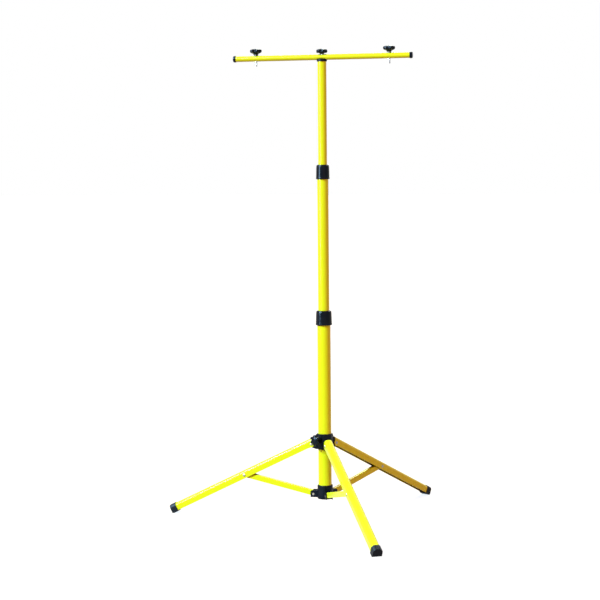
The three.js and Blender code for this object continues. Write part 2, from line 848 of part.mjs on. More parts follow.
// One leg with its cap, rivets and brace, in a group that points along +X.
function legAssembly(side) {
  const assembly = turnedGroup(legAzimuths[side]);
  const legFrame = new THREE.Group();
  legFrame.position.set(hubPivotRadius, 0, hubPivotHeight);
  legFrame.rotation.y = legSlope;
  legFrame.updateMatrix();
  legFrame.add(piece(side + "_leg", leg(), yellowPaint));
  legFrame.add(piece(side + "_foot_cap", footCap(legFrame.matrix), blackRubber));
  legFrame.add(piece(side + "_hub_rivet", legRivet(0), zincSteel));
  const braceRivet = piece(side + "_brace_rivet", legRivet(braceWidth / 2 + fit), zincSteel);
  braceRivet.position.set(legRivetAt, 0, legRivetRise);
  legFrame.add(braceRivet);
  assembly.add(legFrame);

  const braceFrame = new THREE.Group();
  braceFrame.position.set(legRivetRadius, 0, legRivetHeight);
  braceFrame.rotation.z = halfTurn;
  const braceTilt = new THREE.Group();
  braceTilt.rotation.y = braceSlope;
  braceTilt.add(piece(side + "_brace", brace(), yellowPaint));
  const pin = piece(side + "_brace_pin", bracePin(), zincSteel);
  pin.position.x = braceLength;
  braceTilt.add(pin);
  braceFrame.add(braceTilt);
  assembly.add(braceFrame);

  for (const [word, turn] of [["left", 0], ["right", halfTurn]]) {
    const rivet = piece(side + "_lug_rivet_" + word, lugRivet(), zincSteel);
    rivet.position.set(bracePivotRadius, 0, bracePivotHeight);
    rivet.rotation.z = turn;
    assembly.add(rivet);
  }
  return assembly;
}

// The hub's clamp: a nut in the boss, and a knob whose screw presses a pad on the tube.
function clampAssembly() {
  const assembly = turnedGroup(clampAzimuth);
  assembly.position.z = hubPivotHeight + clampRise;
  const padStart = lowerTubeRadius + fit;
  const padEnd = padStart + padThickness;
  const pad = solidOf(rod(padRadius, padStart, padEnd, smallSteps));
  const knobBase = clampBossEnd + fit;
  const screwTop = knobBase + hubKnobHeight - screwCoverInKnob - fit;
  addAlongX(assembly, piece("hub_pressure_pad", pad, blackRubber));
  addAlongX(assembly, piece("hub_nut", hexNut(clampBossEnd - nutHeight, clampBossEnd), zincSteel));
  addAlongX(assembly, piece("hub_knob_screw", screw(padEnd + fit, screwTop), zincSteel));
  const knob = piece("hub_knob", clampKnob(hubKnobRadius, hubKnobHeight), blackPlastic);
  knob.position.x = knobBase;
  addAlongX(assembly, knob);
  return assembly;
}

// A washer, knob and screw that stand on the bar, with the bar's axis at the group's Z 0.
function barClamp(name, knobRadius, knobHeight, seat, tip) {
  const assembly = new THREE.Group();
  const ringPiece = piece(name + "_washer", washer(), zincSteel);
  ringPiece.position.z = seat + fit;
  const knobBase = seat + washerThickness + 2 * fit;
  const knob = piece(name + "_knob", clampKnob(knobRadius, knobHeight), blackPlastic);
  knob.position.z = knobBase;
  const screwTop = knobBase + knobHeight - screwCoverInKnob - fit;
  assembly.add(ringPiece, knob, piece(name + "_screw", screw(tip, screwTop), zincSteel));
  return assembly;
}

// The T bar with its saddle, end caps, inserts and knobs.
function barAssembly() {
  const assembly = new THREE.Group();
  const plugBottom = topTubeTop + fit - saddlePlug;
  assembly.add(piece("bar_saddle", barSaddle(), blackPlastic));
  assembly.add(piece("saddle_nut", hexNut(plugBottom, plugBottom + nutHeight), zincSteel));
  assembly.add(piece("cross_bar", crossBar(), yellowPaint));
  const lampSeat = barRadius + fit + insertFlange;
  const lampTip = -barRadius - lampScrewBelowBar;
  for (const [word, side] of [["left", -1], ["right", 1]]) {
    const cap = piece(word + "_bar_cap", barCap(), blackPlastic);
    cap.position.z = barHeight;
    addAlongX(assembly, cap, side < 0);
    const insert = piece(word + "_lamp_insert", threadInsert(), zincSteel);
    insert.position.set(side * lampOffset, 0, barHeight);
    assembly.add(insert);
    const clamp = barClamp(word + "_lamp", lampKnobRadius, lampKnobHeight, lampSeat, lampTip);
    clamp.position.set(side * lampOffset, 0, barHeight);
    assembly.add(clamp);
  }
  const centreTip = plugBottom - centreScrewBelowPlug - barHeight;
  const centreClamp = barClamp("centre", centreKnobRadius, centreKnobHeight, barRadius, centreTip);
  centreClamp.position.z = barHeight;
  assembly.add(centreClamp);
  return assembly;
}

// The three mast sections with their collars, collets and bushes.
function mastAssembly() {
  const assembly = new THREE.Group();
  assembly.add(piece("lower_tube", lowerTube(), yellowPaint));
  assembly.add(piece("mid_tube", plainTube(midTubeRadius, midTubeBottom, midTubeTop), yellowPaint));
  assembly.add(piece("top_tube", plainTube(topTubeRadius, topTubeBottom, topTubeTop), yellowPaint));
  assembly.add(piece("lower_tube_bumper", tubeBumper(), blackRubber));
  assembly.add(piece("brace_collar", braceCollar(), blackPlastic));
  const screwFrame = turnedGroup(collarScrewAzimuth);
  screwFrame.position.z = bracePivotHeight + collarScrewRise;
  addAlongX(screwFrame, piece("collar_screw", collarScrew(), zincSteel));
  assembly.add(screwFrame);
  assembly.add(piece("leg_hub", legHub(), blackPlastic));

  const lowerCollar = twistCollar(
    lowerTubeRadius,
    midTubeRadius,
    lowerCollarBottomRadius,
    lowerCollarTopRadius,
    lowerCollarBottom,
    lowerCollarHeight,
  );
  const upperCollar = twistCollar(
    midTubeRadius,
    topTubeRadius,
    upperCollarBottomRadius,
    upperCollarTopRadius,
    upperCollarBottom,
    upperCollarHeight,
  );
  const lowerFingers = lowerCollarHeight - lowerCollarGrip - collarLip - fit;
  const upperFingers = upperCollarHeight - upperCollarGrip - collarLip - fit;
  assembly.add(piece("lower_twist_collar", lowerCollar, blackPlastic));
  assembly.add(piece("upper_twist_collar", upperCollar, blackPlastic));
  const lowerCollet = collet(lowerTubeRadius, midTubeRadius, lowerTubeTop, lowerFingers);
  const upperCollet = collet(midTubeRadius, topTubeRadius, midTubeTop, upperFingers);
  assembly.add(piece("lower_collet", lowerCollet, blackPlastic));
  assembly.add(piece("upper_collet", upperCollet, blackPlastic));
  const midBush = guideBush(midTubeRadius, lowerTubeRadius, midTubeBottom);
  const topBush = guideBush(topTubeRadius, midTubeRadius, topTubeBottom);
  assembly.add(piece("mid_guide_bush", midBush, blackPlastic));
  assembly.add(piece("top_guide_bush", topBush, blackPlastic));
  return assembly;
}

const stand = new THREE.Group();
stand.add(mastAssembly(), clampAssembly(), barAssembly());
for (const side of Object.keys(legAzimuths)) stand.add(legAssembly(side));
stand.position.x = -stanceCentre;

const model = new THREE.Group();
model.add(stand);

export default model;
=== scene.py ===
"""A telescopic tripod stand with a T bar for two work lamps, dressed for a studio picture.

Sizes are in millimetres in the stand's own frame: Z is the mast's axis and the feet stand on Z 0.
"""

import math

import bmesh
import bpy
from mathutils import Matrix, Vector


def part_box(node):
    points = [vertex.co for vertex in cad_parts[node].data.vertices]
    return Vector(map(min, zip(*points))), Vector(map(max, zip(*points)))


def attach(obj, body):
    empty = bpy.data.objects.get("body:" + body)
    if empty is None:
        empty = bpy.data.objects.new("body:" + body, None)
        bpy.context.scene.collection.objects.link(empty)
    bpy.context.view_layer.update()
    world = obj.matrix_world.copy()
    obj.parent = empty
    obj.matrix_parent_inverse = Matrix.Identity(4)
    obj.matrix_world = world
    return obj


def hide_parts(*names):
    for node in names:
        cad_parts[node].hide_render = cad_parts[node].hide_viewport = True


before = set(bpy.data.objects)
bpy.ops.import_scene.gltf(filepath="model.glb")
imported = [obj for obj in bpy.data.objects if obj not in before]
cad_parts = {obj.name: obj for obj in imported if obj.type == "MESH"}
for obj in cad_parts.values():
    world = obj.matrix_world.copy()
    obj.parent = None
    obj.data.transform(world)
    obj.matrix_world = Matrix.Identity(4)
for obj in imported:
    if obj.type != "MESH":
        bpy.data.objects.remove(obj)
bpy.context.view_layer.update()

# Units and counts
MM = 0.001
DEGREE = math.pi / 180
HALF_TURN = math.pi
FULL_TURN = 2 * math.pi
MAST_STEPS = 96
BAR_STEPS = 64
SMALL_STEPS = 48
FILLET_STEPS = 6
SHARP_ANGLE = 38 * DEGREE
NORMAL_WEIGHT = 60
MERGE_GAP = 1e-6
KNOB_LOBES = 6
LOBE_STEPS = 14

# The stand's main places, the same as the solids'
LEG_AZIMUTHS = {"left": 180 * DEGREE, "front": -60 * DEGREE, "rear": 60 * DEGREE}
LEG_SLOPE = 26.6 * DEGREE
CLAMP_AZIMUTH = 240 * DEGREE
LEG_REACH = 475
HUB_PIVOT_RADIUS = 37
LEG_RIVET_AT = 224
LEG_RIVET_RISE = 2.5
CAP_BOTTOM = 9
CAP_ROUNDING = 3
FOOT_CUT = 1
FIT = 0.3
SLIDE_FIT = 0.4

# Tubes
LOWER_TUBE_RADIUS = 19
MID_TUBE_RADIUS = 16
TOP_TUBE_RADIUS = 12.5
TUBE_WALL = 1.2
TUBE_EDGE = 0.4

# T bar
BAR_RADIUS = 8
BAR_WALL = 1.5
BAR_REACH = 258.5
BAR_CAP_RADIUS = 9.2
BAR_CAP_GRIP = 5
BAR_CAP_DOME = 3
BAR_CAP_END = 2
DRILL_SPARE = 2
LAMP_OFFSET = 192

# Collars
LOWER_COLLAR = {"bottom": 23.7, "top": 22.0}
UPPER_COLLAR = {"bottom": 19.5, "top": 18.2}
COLLAR_SHOULDER = 4.6
COLLAR_BROW = 9
COLLAR_BROW_LEAN = 0.6
COLLAR_BROW_ROUNDING = 27
COLLAR_FOOT_ROUNDING = 2
COLLAR_FLARE = 0.4
COLLAR_FLARE_HEIGHT = 4
COLLAR_LIP = 3
COLLAR_EDGE = 0.6

# Screws, washers, inserts and knobs
SCREW_RADIUS = 3.9
THREAD_PITCH = 1.25
THREAD_DEPTH = 0.55
THREAD_RUN_OUT = 0.6
THREAD_LENGTH = 10
RIDGE_CORNERS = 6
WASHER_RADIUS = 6.3
WASHER_THICKNESS = 1
INSERT_FLANGE_RADIUS = 6.3
INSERT_FLANGE = 1
INSERT_STEM_RADIUS = 5.2
INSERT_LENGTH = 9
LAMP_KNOB = {"radius": 17, "height": 16.9, "bowl share": 0.4}
CENTRE_KNOB = {"radius": 15.8, "height": 14, "bowl share": 0.2}
HUB_KNOB = {"radius": 16, "height": 14.4, "bowl share": 0.3}
SCREW_COVER = 4.5
HUB_KNOB_SEAT = 34
HUB_SCREW_TIP = 21.9
LAMP_SCREW_DROP = 14
VALLEY_SHARE = 0.27
VALLEY_SHARPNESS = 1.4
# A knob's underside: shares of the bowl's height, shares of the radius, and how fully it follows the lobes
KNOB_BOWL = [
    (0, 0, 0), (0, 0.37, 0), (0.05, 0.41, 0), (0.3, 0.42, 0),
    (0.42, 0.48, 0.1), (0.58, 0.62, 0.4), (0.8, 0.82, 0.8),
]
# The rim and crown above it: shares of the height left, then the same two
KNOB_CROWN = [
    (0, 0.94, 1), (0.1, 0.98, 1), (0.22, 1, 1), (0.52, 1, 1), (0.63, 0.985, 1),
    (0.72, 0.95, 1), (0.79, 0.88, 0.9), (0.84, 0.75, 0.6), (0.91, 0.6, 0.25),
    (0.97, 0.46, 0), (1, 0.3, 0), (1, 0.24, 0), (0.96, 0.22, 0), (0.96, 0, 0),
]

# Rivets, and the legs and braces they go through
RIVET_RADIUS = 3
RIVET_HEAD_RADIUS = 4.4
RIVET_HEAD = 1.6
RIVET_SHOULDER_RADIUS = 4.6
LEG_HALF = 12
LEG_WALL = 1.5
BRACE_HALF = 7.4

# Roundings of the pieces that keep their solid's shape
HUB_EDGE = 0.5
LEG_EDGE = 0.4
BRACE_EDGE = 0.3
CAP_EDGE = 0.9
SADDLE_EDGE = 0.4

# Places worked out from the sizes above and from the solids
MAST_X = (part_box("lower_tube")[0][0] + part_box("lower_tube")[1][0]) / 2 / MM
HUB_PIVOT_HEIGHT = (
    (LEG_REACH - CAP_ROUNDING) * math.sin(LEG_SLOPE)
    + (CAP_BOTTOM - CAP_ROUNDING) * math.cos(LEG_SLOPE)
    + CAP_ROUNDING
    - FOOT_CUT
)
BAR_HEIGHT = (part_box("cross_bar")[0][2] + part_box("cross_bar")[1][2]) / 2 / MM

# How a pattern, an edge or a hidden corner is turned into a mask; the hidden corners' mask carries painted
# shade
PATTERN_LOW = 0.3
PATTERN_HIGH = 0.7
FLAT_AGREEMENT = 0.985
EDGE_AGREEMENT = 0.86
EDGE_SAMPLES = 4
OPEN_AIR = 0.72
SHUT_AIR = 0.3
PAINTED_SHADE_SAMPLES = 6

# Finishes: how far the roughness varies, and how much smoother an edge is rubbed
PLASTIC_HAZE = 0.1
STEEL_HAZE = 0.14
RUBBED = 0.06

# Colours, as linear values
PAINT_YELLOW = (0.75, 0.86, 0.014)
PAINT_YELLOW_DEEP = (0.74, 0.82, 0.010)
PAINT_WORN = (0.80, 0.87, 0.09)
# The colour of the shade painted inside the channels and in hidden corners
PAINT_SHADE_INSIDE = (0.10, 0.045, 0.004)
PLASTIC_BLACK = (0.0025, 0.0035, 0.009)
PLASTIC_BLACK_LIGHT = (0.005, 0.007, 0.016)
PLASTIC_WORN = (0.025, 0.032, 0.05)
PLASTIC_SHEEN = (0.5, 0.72, 1.0, 1)
PAINT_SHEEN = (1.0, 0.92, 0.45, 1)
RUBBER_BLACK = (0.004, 0.0045, 0.008)
RUBBER_BLACK_LIGHT = (0.010, 0.011, 0.015)
RUBBER_WORN = (0.03, 0.03, 0.032)
STEEL_WORN = (0.86, 0.86, 0.85)
ZINC = (0.62, 0.64, 0.68)
ZINC_WARM = (0.66, 0.64, 0.60)
NICKEL = (0.30, 0.28, 0.25)
NICKEL_WARM = (0.24, 0.22, 0.18)
WASHER_STEEL = (0.05, 0.045, 0.035)
WASHER_WARM = (0.04, 0.035, 0.025)
SCREW_BLUE = (0.36, 0.43, 0.50)
SCREW_WARM = (0.34, 0.38, 0.42)

# The studio, in metres, watts and degrees
BACKGROUND_WHITE = (1, 1, 1, 1)
FILL_LIGHT = (0.60, 0.29, 0.10, 1)
PAPER_WHITE = (0.26, 0.145, 0.07, 1)
PAPER_GLOW = (0.80, 0.90, 0.97, 1)
FLOOR_HALF = 40.0
SUN_DISTANCE = 4
LAMP_AIM = 0.9
SUNS = {
    "key": {"azimuth": -127, "rise": 40, "power": 4.6, "spread": 14, "colour": (0.66, 1.0, 0.86)},
    "warm_light": {"azimuth": -58, "rise": 8, "power": 0.42, "spread": 40, "colour": (1.0, 0.2, 0.0)},
    "back_light": {"azimuth": 92, "rise": 35, "power": 1.7, "spread": 30, "colour": (0.95, 1.0, 0.88)},
}
# The softboxes show in glossy surfaces only, and give no light of their own
SOFTBOXES = {
    "low_softbox": {
        "place": (-2.13, -2.01, 1.2), "size": (0.8, 1.3), "power": 150, "colour": (0.80, 0.95, 1.0),
    },
    "high_softbox": {
        "place": (-2.13, -2.01, 3.0), "size": (2.2, 1.6), "power": 1300, "colour": (0.85, 0.95, 1.0),
    },
}

# The photograph's viewpoint, with the lens as its distance from a picture 600 across
CAMERA_PLACE = (1.11952, -4.38805, 1.03348)
CAMERA_HEADING = 13.876 * DEGREE
CAMERA_PITCH = 5.0641 * DEGREE
CAMERA_ROLL = -0.5183 * DEGREE
PICTURE_HALF = 300
LENS_DISTANCE = 1587.46


def new_material(name):
    """A material with its shader and the nodes' maker and linker."""
    material = bpy.data.materials.new(name)
    material.use_nodes = True
    tree = material.node_tree
    shader = tree.nodes["Principled BSDF"]
    coordinates = tree.nodes.new("ShaderNodeTexCoord")

    def noise(scale, detail=3.0, roughness=0.5):
        node = tree.nodes.new("ShaderNodeTexNoise")
        node.inputs["Scale"].default_value = scale
        node.inputs["Detail"].default_value = detail
        node.inputs["Roughness"].default_value = roughness
        tree.links.new(coordinates.outputs["Object"], node.inputs["Vector"])
        return node.outputs["Fac"]

    return material, tree, shader, noise


def blend_colour(tree, factor, dark, light):
    """A ramp between two colours by a pattern's value."""
    ramp = tree.nodes.new("ShaderNodeValToRGB")
    ramp.color_ramp.elements[0].position = PATTERN_LOW
    ramp.color_ramp.elements[1].position = PATTERN_HIGH
    ramp.color_ramp.elements[0].color = (*dark, 1)
    ramp.color_ramp.elements[1].color = (*light, 1)
    tree.links.new(factor, ramp.inputs["Fac"])
    return ramp.outputs["Color"]


def value_range(tree, factor, low, high):
    """A pattern's value brought between two limits."""
    node = tree.nodes.new("ShaderNodeMapRange")
    node.inputs["From Min"].default_value = PATTERN_LOW
    node.inputs["From Max"].default_value = PATTERN_HIGH
    node.inputs["To Min"].default_value = low
    node.inputs["To Max"].default_value = high
    tree.links.new(factor, node.inputs["Value"])
    return node.outputs["Result"]


def tree_maths(tree, operation, first, second):
    """A sum or product of two sockets or numbers."""
    node = tree.nodes.new("ShaderNodeMath")
    node.operation = operation
    for socket, value in zip(node.inputs, (first, second)):
        if isinstance(value, (int, float)):
            socket.default_value = value
        else:
            tree.links.new(value, socket)
    return node.outputs[0]


def mixed(tree, kind, factor, first, second):
    """A mix by a factor of two colours or values, each a socket or a plain value."""
    mix = tree.nodes.new("ShaderNodeMix")
    mix.data_type = kind
    tree.links.new(factor, mix.inputs["Factor"])
    ends = [item for item in mix.inputs if item.enabled and item.name in ("A", "B")]
    for end, value in zip(ends, (first, second)):
        if isinstance(value, bpy.types.NodeSocket):
            tree.links.new(value, end)
        else:
            end.default_value = value
    return [item for item in mix.outputs if item.enabled][0]


def bumped(tree, shader, layers):
    """Fine relief on the shader from (pattern, strength, depth) layers."""
    normal = None
    for height, strength, distance in layers:
        bump = tree.nodes.new("ShaderNodeBump")
        bump.inputs["Strength"].default_value = strength
        bump.inputs["Distance"].default_value = distance
        tree.links.new(height, bump.inputs["Height"])
        if normal is not None:
            tree.links.new(normal, bump.inputs["Normal"])
        normal = bump.outputs["Normal"]
    tree.links.new(normal, shader.inputs["Normal"])


def edge_wear(tree, pattern, width):
    """A mask of the edges, where the surface turns within a width, broken up by a pattern."""
    eased = tree.nodes.new("ShaderNodeBevel")
    eased.samples = EDGE_SAMPLES
    eased.inputs["Radius"].default_value = width
    surface = tree.nodes.new("ShaderNodeNewGeometry")
    agreement = tree.nodes.new("ShaderNodeVectorMath")
    agreement.operation = "DOT_PRODUCT"
    tree.links.new(eased.outputs["Normal"], agreement.inputs[0])
    tree.links.new(surface.outputs["Normal"], agreement.inputs[1])
    edges = tree.nodes.new("ShaderNodeMapRange")
    edges.inputs["From Min"].default_value = FLAT_AGREEMENT
    edges.inputs["From Max"].default_value = EDGE_AGREEMENT
    tree.links.new(agreement.outputs["Value"], edges.inputs["Value"])
    patches = value_range(tree, pattern, low=0.25, high=1.0)
    return tree_maths(tree, "MULTIPLY", edges.outputs["Result"], patches)


def painted_shade_mask(tree, reach):
    """A mask of painted shade in hidden corners: 1 where the surface is shut in within a reach, 0 in the
    open.
    """
    openness = tree.nodes.new("ShaderNodeAmbientOcclusion")
    openness.samples = PAINTED_SHADE_SAMPLES
    openness.inputs["Distance"].default_value = reach
    shut = tree.nodes.new("ShaderNodeMapRange")
    shut.inputs["From Min"].default_value = OPEN_AIR
    shut.inputs["From Max"].default_value = SHUT_AIR
    tree.links.new(openness.outputs["AO"], shut.inputs["Value"])
    return shut.outputs["Result"]


def worn(tree, shader, wear, colour, worn_colour, roughness, worn_roughness):
    """The shader's colour and roughness, each led to its worn value along the edges."""
    for kind, socket, fresh, used in (
        ("RGBA", "Base Color", colour, (*worn_colour, 1)),
        ("FLOAT", "Roughness", roughness, worn_roughness),
    ):
        tree.links.new(mixed(tree, kind, wear, fresh, used), shader.inputs[socket])


def powder_coat():
    """Smooth yellow powder coat with orange peel, thin and dull on the edges, with shade painted dark brown
    inside the channels.
    """
    material, tree, shader, noise = new_material("yellow_powder_coat")
    clouds = noise(scale=9.0, detail=2.0)
    peel = noise(scale=620.0, detail=2.0)
    grain = noise(scale=2600.0, detail=1.0)
    rub = noise(scale=170.0, detail=4.0, roughness=0.6)
    colour = blend_colour(tree, clouds, PAINT_YELLOW_DEEP, PAINT_YELLOW)
    # Painted shade: the yellow darkens to dark brown in hidden corners and inside the leg and brace channels
    colour = mixed(tree, "RGBA", painted_shade_mask(tree, reach=0.03), colour, (*PAINT_SHADE_INSIDE, 1))
    haze = value_range(tree, noise(scale=60.0), low=0.18, high=0.24)
    worn(tree, shader, edge_wear(tree, rub, width=0.0009), colour, PAINT_WORN, haze, worn_roughness=0.46)
    shader.inputs["Specular IOR Level"].default_value = 0.28
    shader.inputs["Specular Tint"].default_value = PAINT_SHEEN
    bumped(tree, shader, [(peel, 0.09, 0.00010), (grain, 0.05, 0.00003)])
    return material


def moulded_plastic(name, roughness, texture, shine):
    """Black moulded plastic: a fine spark-eroded texture, rubbed smooth and paler on the edges."""
    material, tree, shader, noise = new_material(name)
    speckle = noise(scale=1500.0, detail=2.0)
    flow = noise(scale=38.0, detail=3.0)
    rub = noise(scale=210.0, detail=4.0, roughness=0.6)
    colour = blend_colour(tree, flow, PLASTIC_BLACK, PLASTIC_BLACK_LIGHT)
    haze = value_range(tree, flow, roughness, roughness + PLASTIC_HAZE)
    worn(tree, shader, edge_wear(tree, rub, width=0.0007), colour, PLASTIC_WORN, haze, roughness - RUBBED)
    shader.inputs["Specular IOR Level"].default_value = shine
    shader.inputs["Specular Tint"].default_value = PLASTIC_SHEEN
    bumped(tree, shader, [(flow, 0.05, 0.0004), (speckle, texture, 0.00008)])
    return material


def foot_rubber():
    """Matt black rubber with a dusty speckle and scuffed edges."""
    material, tree, shader, noise = new_material("foot_rubber")
    dust = noise(scale=240.0, detail=4.0, roughness=0.6)
    grain = noise(scale=1300.0, detail=2.0)
    colour = blend_colour(tree, dust, RUBBER_BLACK, RUBBER_BLACK_LIGHT)
    haze = value_range(tree, dust, low=0.42, high=0.6)
    worn(tree, shader, edge_wear(tree, dust, width=0.0012), colour, RUBBER_WORN, haze, worn_roughness=0.68)
    shader.inputs["Specular IOR Level"].default_value = 0.12
    shader.inputs["Specular Tint"].default_value = PLASTIC_SHEEN
    bumped(tree, shader, [(grain, 0.25, 0.0001)])
    return material


def plated_steel(name, colour, warm, roughness):
    """Plated steel with fine smears, a faint tint and burnished edges."""
    material, tree, shader, noise = new_material(name)
    tint = noise(scale=140.0, detail=2.0)
    smear = noise(scale=420.0, detail=4.0, roughness=0.65)
    plate = blend_colour(tree, tint, warm, colour)
    haze = value_range(tree, smear, roughness, roughness + STEEL_HAZE)
    worn(tree, shader, edge_wear(tree, smear, width=0.0004), plate, STEEL_WORN, haze, roughness - RUBBED)
    shader.inputs["Metallic"].default_value = 1.0
    bumped(tree, shader, [(smear, 0.12, 0.00006)])
    return material


YELLOW = powder_coat()
COLLAR_BLACK = moulded_plastic("collar_plastic", roughness=0.14, texture=0.05, shine=0.11)
HUB_BLACK = moulded_plastic("hub_plastic", roughness=0.3, texture=0.16, shine=0.1)
KNOB_BLACK = moulded_plastic("knob_plastic", roughness=0.13, texture=0.04, shine=0.13)
INNER_BLACK = moulded_plastic("inner_plastic", roughness=0.45, texture=0.1, shine=0.1)
RUBBER = foot_rubber()
ZINC_STEEL = plated_steel("zinc_plate", ZINC, ZINC_WARM, roughness=0.26)
NICKEL_STEEL = plated_steel("nickel_plate", NICKEL, NICKEL_WARM, roughness=0.3)
SCREW_STEEL = plated_steel("screw_plate", SCREW_BLUE, SCREW_WARM, roughness=0.24)
DULL_STEEL = plated_steel("washer_plate", WASHER_STEEL, WASHER_WARM, roughness=0.5)


def place_on_mast(azimuth=0.0, height=0.0):
    """From a frame on the mast's axis, turned and raised, to the stand's frame in metres."""
    turn = Matrix.Rotation(azimuth, 4, "Z")
    rise = Matrix.Translation((0, 0, height))
    return Matrix.Scale(MM, 4) @ Matrix.Translation((MAST_X, 0, 0)) @ rise @ turn


def mark_sharp(mesh):
    """Smooth faces, with the edges past the sharp angle kept crisp."""
    work = bmesh.new()
    work.from_mesh(mesh)
    for face in work.faces:
        face.smooth = True
    for edge in work.edges:
        edge.smooth = len(edge.link_faces) == 2 and edge.calc_face_angle(HALF_TURN) < SHARP_ANGLE
    work.to_mesh(mesh)
    work.free()


def new_object(name, mesh):
    """A mesh as an object in the scene."""
    thing = bpy.data.objects.new(name, mesh)
    bpy.context.collection.objects.link(thing)
    return thing


def settled(thing):
    """The object with its modifiers worked into a plain mesh."""
    bpy.context.view_layer.update()
    graph = bpy.context.evaluated_depsgraph_get()
    mesh = bpy.data.meshes.new_from_object(thing.evaluated_get(graph), depsgraph=graph)
    mesh.name = thing.name
    thing.modifiers.clear()
    thing.data = mesh
    return thing


def weigh_normals(thing):
    """Keeps broad faces flat-looking beside their small round edges."""
    weigh = thing.modifiers.new("weighted", "WEIGHTED_NORMAL")
    weigh.keep_sharp = True
    weigh.weight = NORMAL_WEIGHT


def dress(thing, body, nodes):
    """The finished piece rides on its body and stands for its solids."""
    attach(thing, body)
    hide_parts(*nodes)


def placed_mesh(name, work, place):
    """A closed mesh from a bmesh in millimetres, set in place, with its faces outward."""
    bmesh.ops.transform(work, matrix=place, verts=work.verts)
    bmesh.ops.recalc_face_normals(work, faces=work.faces)
    mesh = bpy.data.meshes.new(name)
    work.to_mesh(mesh)
    work.free()
    return mesh


def make_piece(name, work, material, place):
    """A finished object from a bmesh in millimetres."""
    mesh = placed_mesh(name, work, place)
    mesh.materials.append(material)
    mark_sharp(mesh)
    thing = new_object(name, mesh)
    weigh_normals(thing)
    return settled(thing)


def filleted(corners):
    """An outline of [radius, height, fillet] corners with each corner rounded."""
    outline = []
    count = len(corners)
    for i, (x, y, rounding) in enumerate(corners):
        here = Vector((x, y))
        before = Vector(corners[i - 1][:2])
        after = Vector(corners[(i + 1) % count][:2])
        if rounding <= 0:
            outline.append(here)
            continue
        back = (before - here).normalized()
        ahead = (after - here).normalized()
        half = math.acos(max(-1.0, min(1.0, back.dot(ahead)))) / 2
        reach = rounding / math.tan(half)
        centre = here + (back + ahead).normalized() * (rounding / math.sin(half))
        start = here + back * reach - centre
        sweep = start.angle_signed(here + ahead * reach - centre)
        for step in range(FILLET_STEPS + 1):
            arm = start.copy()
            arm.rotate(Matrix.Rotation(-sweep * step / FILLET_STEPS, 2))
            outline.append(centre + arm)
    return outline


def turned(corners, steps, closed=True):
    """A round body about Z from an outline. An open outline starts and ends on the axis."""
    outline = filleted(corners) if closed else filleted_open(corners)
    work = bmesh.new()
    rings = []
    for point in outline:
        if point.x < MERGE_GAP:
            rings.append([work.verts.new((0, 0, point.y))])
            continue
        ring = []
        for i in range(steps):
            angle = FULL_TURN * i / steps
            ring.append(work.verts.new((point.x * math.cos(angle), point.x * math.sin(angle), point.y)))
        rings.append(ring)
    pairs = list(zip(rings, rings[1:]))
    if closed:
        pairs.append((rings[-1], rings[0]))
    for first, second in pairs:
        join_rings(work, first, second)
    return work


def join_rings(work, first, second):
    """Faces between two rings, either of which may be a single pole."""
    steps = max(len(first), len(second))
    for i in range(steps):
        j = (i + 1) % steps
        lower = [first[i % len(first)], first[j % len(first)]]
        upper = [second[j % len(second)], second[i % len(second)]]
        unique = list(dict.fromkeys(lower + upper))
        if len(unique) > 2:
            work.faces.new(unique)


def filleted_open(corners):
    """As filleted, for an outline whose first and last corners are on the axis."""
    first, last = corners[0], corners[-1]
    return filleted([(first[0], first[1], 0), *corners[1:-1], (last[0], last[1], 0)])


def along_x(flip=False):
    """Turns a body made about Z so that its Z runs along X."""
    return Matrix.Rotation(-HALF_TURN / 2 if flip else HALF_TURN / 2, 4, "Y")


def rod(radius, bottom, top, steps=SMALL_STEPS):
    """A plain round bar about Z, for cutting."""
    return turned([(0, bottom, 0), (radius, bottom, 0), (radius, top, 0), (0, top, 0)], steps, closed=False)


def cutter(work, place):
    """An object that another is cut by."""
    return new_object("cutter", placed_mesh("cutter", work, place))


def cut_away(thing, cutters):
    """The object less each cutter, which is then removed."""
    for tool in cutters:
        step = thing.modifiers.new("cut", "BOOLEAN")
        step.operation = "DIFFERENCE"
        step.solver = "EXACT"
        step.object = tool
    settled(thing)
    for tool in cutters:
        bpy.data.objects.remove(tool, do_unlink=True)
    return thing


def rounded_copy(name, node, material, edge):
    """A node's shape with its edges rounded."""
    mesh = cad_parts[node].data.copy()
    mesh.name = name
    work = bmesh.new()
    work.from_mesh(mesh)
    bmesh.ops.remove_doubles(work, verts=work.verts, dist=MERGE_GAP)
    bmesh.ops.dissolve_limit(work, angle_limit=DEGREE, verts=work.verts, edges=work.edges)
    work.to_mesh(mesh)
    work.free()
    mesh.materials.clear()
    mesh.materials.append(material)
    thing = new_object(name, mesh)
    bevel = thing.modifiers.new("edges", "BEVEL")
    bevel.width = edge * MM
    bevel.segments = 2
    bevel.limit_method = "ANGLE"
    bevel.angle_limit = SHARP_ANGLE
    bevel.use_clamp_overlap = True
    settled(thing)
    mark_sharp(thing.data)
    weigh_normals(thing)
    return settled(thing)


def dressed_copy(node, material, edge, body):
    """A piece that keeps its solid's shape, with its edges rounded."""
    thing = rounded_copy(node + "_form", node, material, edge)
    dress(thing, body, [node])
    return thing


def tube(name, radius, node, body):
    """One mast tube, with rolled ends, at the height of its solid."""
    low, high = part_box(node)
    bottom, top = low[2] / MM, high[2] / MM
    bore = radius - TUBE_WALL
    corners = [
        (bore, bottom, TUBE_EDGE),
        (radius, bottom, TUBE_EDGE),
        (radius, top, TUBE_EDGE),
        (bore, top, TUBE_EDGE),
    ]
    thing = make_piece(name, turned(corners, MAST_STEPS), YELLOW, place_on_mast())
    dress(thing, body, [node])
    return thing


